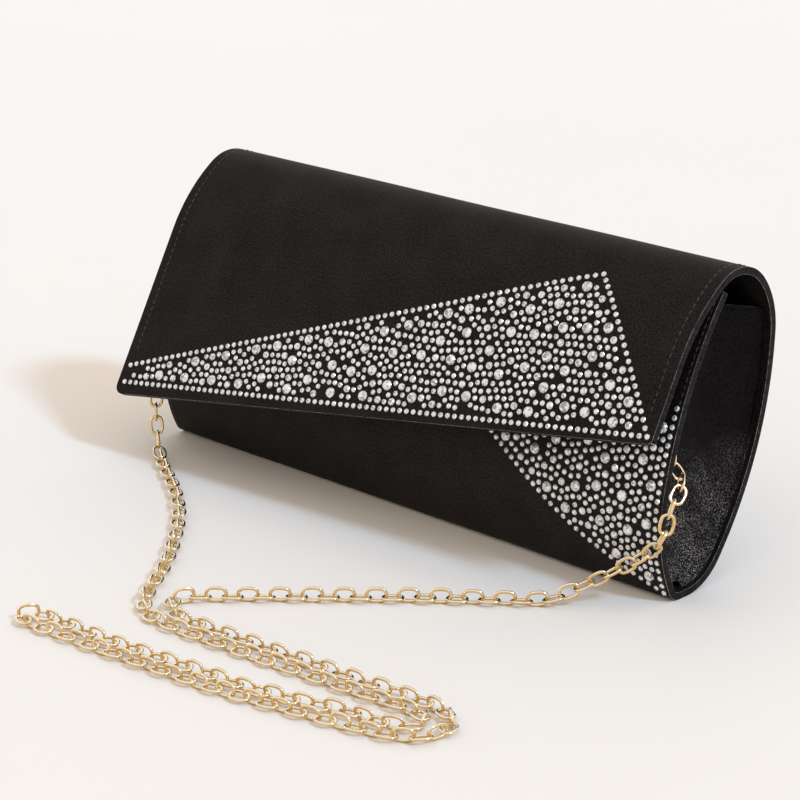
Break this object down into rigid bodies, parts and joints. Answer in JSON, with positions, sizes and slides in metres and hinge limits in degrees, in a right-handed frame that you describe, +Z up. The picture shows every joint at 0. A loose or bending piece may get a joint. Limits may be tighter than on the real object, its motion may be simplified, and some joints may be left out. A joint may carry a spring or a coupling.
{
  "type": "evening clutch bag",
  "caption": "Rigid evening clutch with a slanted fold-over flap, crystal-set panels, recessed end gussets, a magnetic snap and a removable gold chain strap.",
  "frame": {"origin": "middle of the bag's box at the surface it stands on, the chain strap left out", "axes": "+X to the bag's right side as seen from the front, +Y to the back, +Z up"},
  "size_m": [0.2763, 0.2128, 0.1079],
  "materials": {
    "black_satin": "satin weave",
    "stiff_board": "grey-brown pressed board",
    "grey_lining": "smooth lining satin",
    "gusset_satin": "glossy satin",
    "black_thread": "twisted thread",
    "plated_steel": "nickel plate",
    "snap_metal": "polished plate",
    "crystal": "foil-backed clear crystal",
    "chain_gold": "polished gold colour",
    "gold_fitting": "polished"
  },
  "bodies": {
    "shell": {"outer_cover": "black_satin", "front_board": "stiff_board", "bottom_board": "stiff_board", "back_board": "stiff_board", "body_lining": "grey_lining", "slip_pocket": "grey_lining", "gusset_left": "gusset_satin", "gusset_right": "gusset_satin", "body_stitching_left": "black_thread", "body_stitching_right": "black_thread", "front_snap": "snap_metal", "front_snap_washer": "plated_steel", "ring_tab_left": "gusset_satin", "ring_tab_right": "gusset_satin", "clasp_left": "gold_fitting", "clasp_right": "gold_fitting", "clasp_pin_left": "gold_fitting", "clasp_pin_right": "gold_fitting", "end_link_left": "gold_fitting", "end_link_right": "gold_fitting", "front_crystals_small": "crystal", "front_crystals_medium": "crystal", "front_crystals_large": "crystal", "chain_strap": "chain_gold"},
    "flap": {"flap_cover": "black_satin", "flap_board": "stiff_board", "flap_lining": "grey_lining", "flap_stitching_left": "black_thread", "flap_stitching_right": "black_thread", "flap_snap": "snap_metal", "flap_snap_washer": "plated_steel", "flap_crystals_small": "crystal", "flap_crystals_medium": "crystal", "flap_crystals_large": "crystal"},
    "ring_left": {"d_ring_left": "gold_fitting"},
    "ring_right": {"d_ring_right": "gold_fitting"},
    "lever_left": {"clasp_lever_left": "gold_fitting"},
    "lever_right": {"clasp_lever_right": "gold_fitting"}
  },
  "joints": [
    {"name": "flap_hinge", "type": "hinge", "parent": "shell", "child": "flap", "pos_m": [0, 0.03396, 0.10181], "axis": [-1, 0, 0], "range_deg": [-0.5, 150]},
    {"name": "ring_swing_left", "type": "hinge", "parent": "shell", "child": "ring_left", "pos_m": [-0.1105, 0.017, 0.07], "axis": [0, 1, 0], "range_deg": [-7, 7]},
    {"name": "ring_swing_right", "type": "hinge", "parent": "shell", "child": "ring_right", "pos_m": [0.1105, 0.017, 0.07], "axis": [0, 1, 0], "range_deg": [-7, 7]},
    {"name": "lever_press_left", "type": "hinge", "parent": "shell", "child": "lever_left", "pos_m": [-0.1078, 0.017, 0.07708], "axis": [0, 1, 0], "range_deg": [0, 25], "stiffness_Nm_per_rad": 0.002, "springref_deg": -17.19},
    {"name": "lever_press_right", "type": "hinge", "parent": "shell", "child": "lever_right", "pos_m": [0.1078, 0.017, 0.07708], "axis": [0, -1, 0], "range_deg": [0, 25], "stiffness_Nm_per_rad": 0.002, "springref_deg": -17.19}
  ]
}
